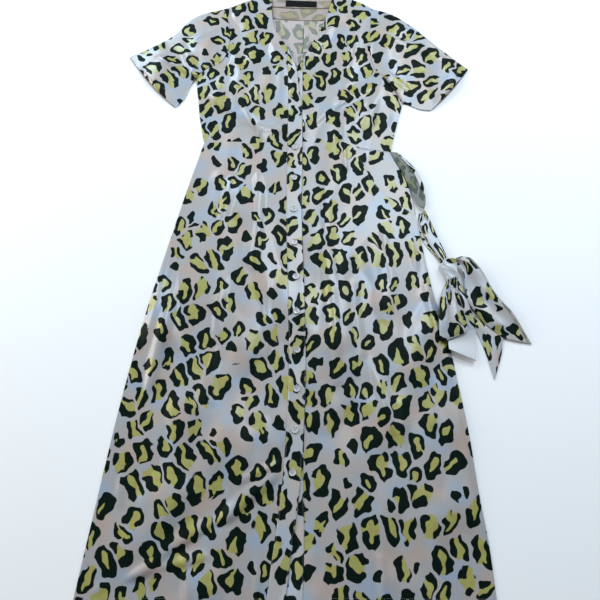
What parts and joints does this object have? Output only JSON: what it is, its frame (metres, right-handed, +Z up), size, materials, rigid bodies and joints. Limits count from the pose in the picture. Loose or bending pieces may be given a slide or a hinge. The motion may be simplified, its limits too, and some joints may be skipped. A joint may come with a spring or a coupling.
{
  "type": "button-down midi dress",
  "caption": "Short-sleeved V-neck midi dress of thin printed cloth, buttoned down the front, laid flat on its back with its tie belt in a bow beside the hip.",
  "frame": {"origin": "middle of the box around the laid-out dress, on the surface it lies on", "axes": "+Z up from that surface, +Y from the hem to the neck, +X to the right as seen from above, which is the wearer's left side"},
  "size_m": [0.79, 1.235, 0.0204],
  "materials": {
    "printed_cloth": "smooth light satin weave, printed all over with dark rosettes filled with yellow-green on a blue-white ground",
    "belt_cloth": "the same printed satin, cut into the tie belt",
    "wrong_side": "the wrong side of the same cloth, duller, with the print showing through faintly",
    "facing_cloth": "the facing and band inside the neck, wrong side, darker and duller",
    "label": "plain black woven tape, bare",
    "button": "white with a soft pearl shine"
  },
  "bodies": {
    "root": {"back_bodice_left": "wrong_side", "back_bodice_right": "wrong_side", "back_skirt": "wrong_side", "front_bodice_left": "printed_cloth", "front_bodice_right": "printed_cloth", "front_skirt_left": "printed_cloth", "front_skirt_right": "printed_cloth", "pocket_side_piece": "printed_cloth", "buttonhole_band": "printed_cloth", "button_band": "printed_cloth", "sleeve_left": "printed_cloth", "sleeve_right": "printed_cloth", "neck_facing": "facing_cloth", "neck_band": "facing_cloth", "neck_label": "label", "centre_back_allowance": "wrong_side", "belt_strand_upper": "belt_cloth", "belt_strand_lower": "belt_cloth", "belt_knot": "belt_cloth", "belt_tail_upper": "belt_cloth", "belt_tail_lower": "belt_cloth", "belt_loop_upper": "belt_cloth", "belt_loop_lower": "belt_cloth", "button_1": "button", "button_2": "button", "button_3": "button", "button_4": "button", "button_5": "button", "button_6": "button", "button_7": "button", "button_8": "button", "button_9": "button", "button_10": "button"}
  },
  "joints": []
}
